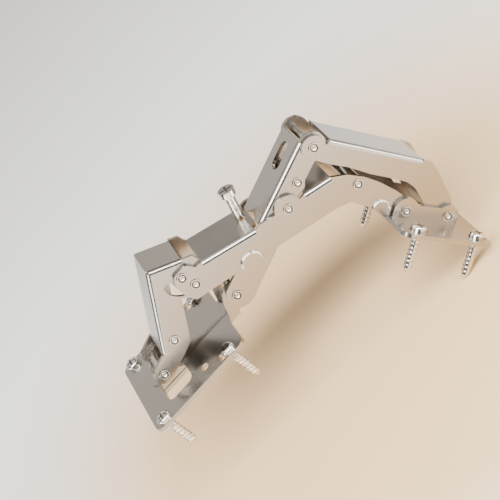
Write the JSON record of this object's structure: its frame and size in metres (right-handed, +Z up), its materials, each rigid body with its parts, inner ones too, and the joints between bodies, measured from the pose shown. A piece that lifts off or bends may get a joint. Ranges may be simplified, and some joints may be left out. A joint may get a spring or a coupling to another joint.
{
  "type": "cabinet hinge",
  "caption": "Concealed cabinet hinge: pressed steel links riveted in a folding chain between a cabinet plate and a door plate, shown wide open.",
  "frame": {"origin": "middle of the cabinet plate's underside, on the board it is screwed to", "axes": "+X from the cabinet plate towards the door, +Y along the pivots, +Z up off the cabinet plate"},
  "size_m": [0.1294, 0.049, 0.089],
  "materials": {
    "plated_sheet": "satin nickel plate over pressed steel sheet",
    "rivet_steel": "nickel-plated rivets",
    "screw_steel": "bright nickel plate on steel screws"
  },
  "bodies": {
    "cabinet": {"cabinet_plate": "plated_sheet", "foot_pin": "rivet_steel", "cabinet_screw_1": "screw_steel", "cabinet_screw_2": "screw_steel", "cabinet_screw_3": "screw_steel", "cabinet_screw_4": "screw_steel"},
    "rocker": {"rocker": "plated_sheet", "rocker_rivet": "rivet_steel", "rocker_spacer": "rivet_steel"},
    "main_arm": {"main_arm": "plated_sheet", "elbow_rivet": "rivet_steel", "shoulder_rivet": "rivet_steel", "stop_rivet": "rivet_steel", "arm_spacer": "rivet_steel"},
    "front_link": {"front_link": "plated_sheet", "foot_cap_near": "rivet_steel", "foot_cap_far": "rivet_steel", "link_spacer": "rivet_steel"},
    "cover_arm": {"cover_arm": "plated_sheet", "cover_rivet": "rivet_steel", "guide_pin": "rivet_steel"},
    "door": {"door_plate": "plated_sheet", "door_rivet": "rivet_steel", "guide_cap_near": "rivet_steel", "guide_cap_far": "rivet_steel", "door_screw_1": "screw_steel", "door_screw_2": "screw_steel", "door_screw_3": "screw_steel", "door_screw_4": "screw_steel"},
    "adjuster": {"adjusting_screw": "screw_steel"}
  },
  "joints": [
    {"name": "rocker_pivot", "type": "hinge", "parent": "cabinet", "child": "rocker", "pos_m": [0.03, 0, 0.0067], "axis": [0, -1, 0], "range_deg": [0, 90]},
    {"name": "elbow_pivot", "type": "hinge", "parent": "rocker", "child": "main_arm", "pos_m": [0.0638, 0, 0.0158], "axis": [0, -1, 0], "range_deg": [-73.26, 0]},
    {"name": "shoulder_pivot", "type": "hinge", "parent": "main_arm", "child": "front_link", "pos_m": [0.023, 0, 0.028], "axis": [0, -1, 0], "range_deg": [0, 61.42]},
    {"name": "door_pivot", "type": "hinge", "parent": "main_arm", "child": "door", "pos_m": [0.0898, 0, -0.0186], "axis": [0, -1, 0], "range_deg": [0, 110.14]},
    {"name": "cover_pivot", "type": "hinge", "parent": "rocker", "child": "cover_arm", "pos_m": [0.0846, 0, 0.0246], "axis": [0, -1, 0], "range_deg": [-45.2, 0]},
    {"name": "adjuster_turn", "type": "hinge", "parent": "main_arm", "child": "adjuster", "pos_m": [0.0502, 0.0054, 0.01994], "axis": [0.3328, 0, 0.943], "continuous": true}
  ],
  "couplings": [
    {"joint": "elbow_pivot", "follows": "rocker_pivot", "ratio": -0.814},
    {"joint": "shoulder_pivot", "follows": "rocker_pivot", "ratio": 0.6824},
    {"joint": "door_pivot", "follows": "rocker_pivot", "ratio": 1.2237},
    {"joint": "cover_pivot", "follows": "rocker_pivot", "ratio": -0.5022}
  ]
}
